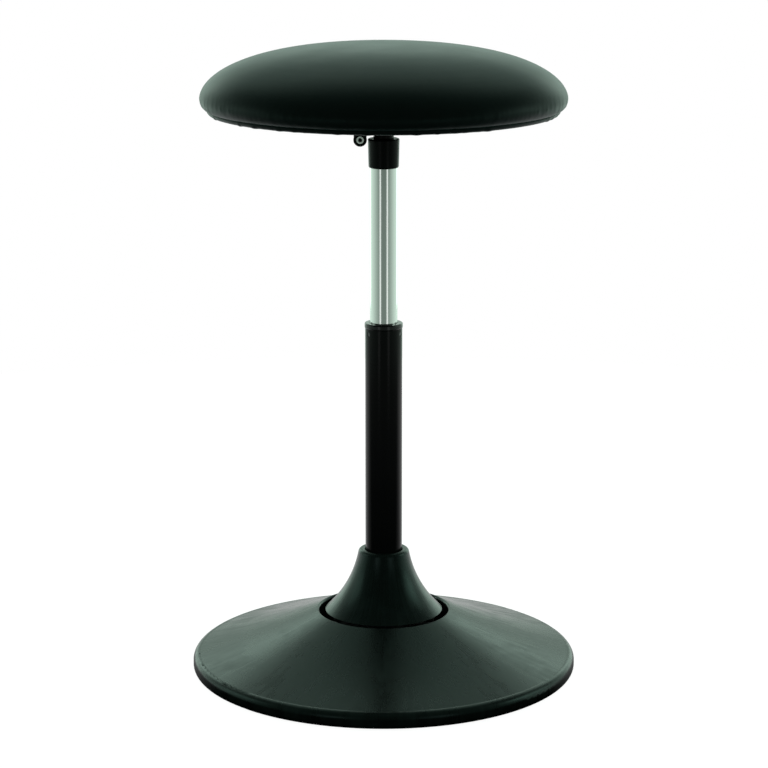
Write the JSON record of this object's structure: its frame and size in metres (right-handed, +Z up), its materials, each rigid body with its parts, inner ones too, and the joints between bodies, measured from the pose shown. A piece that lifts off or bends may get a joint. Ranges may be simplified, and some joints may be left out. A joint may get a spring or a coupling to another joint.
{
  "type": "balance stool",
  "caption": "Round padded stool on a height-adjustable gas-spring column that swivels and tilts on a heavy dished foot, for active sitting.",
  "frame": {"origin": "centre of the foot on the floor, under the column's axis", "axes": "+Z up along the column, +Y away from the viewer of the picture, +X to that viewer's right"},
  "size_m": [0.3984, 0.3984, 0.6499],
  "materials": {
    "black_moulded_plastic": "satin",
    "white_bearing_plastic": "satin",
    "black_coated_steel": "satin",
    "cast_aluminium": "matte",
    "bright_steel": "satin",
    "zinc_plated_steel": "satin",
    "chrome_plate": "polished",
    "brass": "satin",
    "black_rubber": "matte",
    "black_leatherette": "satin",
    "cushion_foam": "matte",
    "black_dust_cloth": "matte",
    "plywood": "matte"
  },
  "bodies": {
    "base": {"base_cover": "black_moulded_plastic", "ballast_plate": "black_coated_steel", "anti_slip_ring": "black_rubber", "cover_screws": "zinc_plated_steel", "housing_screws": "zinc_plated_steel", "clamp_screws": "zinc_plated_steel", "spring_housing": "cast_aluminium", "pivot_cup": "bright_steel", "lower_rubber_ring": "black_rubber", "upper_rubber_ring": "black_rubber", "clamp_ring": "cast_aluminium"},
    "pivot": {"pivot_ball": "bright_steel"},
    "column": {"tilt_hub": "cast_aluminium", "tube_grub_screws": "zinc_plated_steel", "column_tube": "black_coated_steel", "tube_floor": "bright_steel", "guide_bush": "black_moulded_plastic", "cone_cover": "black_moulded_plastic", "bearing_lower_race": "bright_steel"},
    "rod": {"bearing_balls": "bright_steel", "bearing_cage": "white_bearing_plastic", "bearing_upper_race": "bright_steel", "piston_rod": "bright_steel", "rod_clip": "bright_steel", "bump_stop": "black_rubber", "piston": "brass", "piston_ring": "black_rubber"},
    "seat": {"gas_cylinder": "chrome_plate", "rod_guide": "brass", "rod_seal": "black_rubber", "valve_body": "brass", "seat_socket": "black_coated_steel", "seat_plate": "black_coated_steel", "lever_bushes": "white_bearing_plastic", "seat_board": "plywood", "t_nuts": "zinc_plated_steel", "bolt_washers": "zinc_plated_steel", "seat_bolts": "zinc_plated_steel", "dust_cloth": "black_dust_cloth", "seat_cover": "black_leatherette", "seat_foam": "cushion_foam"},
    "lever": {"release_lever": "black_coated_steel", "lever_clip": "bright_steel", "lever_grip": "black_moulded_plastic"},
    "valve": {"valve_pin": "bright_steel"}
  },
  "joints": [
    {"name": "tilt_fore_aft", "type": "hinge", "parent": "base", "child": "pivot", "pos_m": [0, 0, 0.031], "axis": [1, 0, 0], "range_deg": [-6, 6], "stiffness_Nm_per_rad": 250, "deforming": ["lower_rubber_ring", "upper_rubber_ring"]},
    {"name": "tilt_sideways", "type": "hinge", "parent": "pivot", "child": "column", "pos_m": [0, 0, 0.031], "axis": [0, 1, 0], "range_deg": [-6, 6], "stiffness_Nm_per_rad": 250, "deforming": ["lower_rubber_ring", "upper_rubber_ring"]},
    {"name": "swivel", "type": "hinge", "parent": "column", "child": "rod", "pos_m": [0, 0, 0.0608], "axis": [0, 0, 1], "continuous": true},
    {"name": "seat_lift", "type": "slide", "parent": "rod", "child": "seat", "axis": [0, 0, 1], "range_m": [-0.15, 0.05]},
    {"name": "lever_pull", "type": "hinge", "parent": "seat", "child": "lever", "pos_m": [-0.0235, 0, 0.55705], "axis": [0, 1, 0], "range_deg": [0, 7], "stiffness_Nm_per_rad": 3, "springref_deg": -20.05},
    {"name": "valve_press", "type": "slide", "parent": "seat", "child": "valve", "axis": [0, 0, -1], "range_m": [0, 0.003]}
  ],
  "couplings": [
    {"joint": "valve_press", "follows": "lever_pull", "m_per_rad": 0.0245}
  ]
}
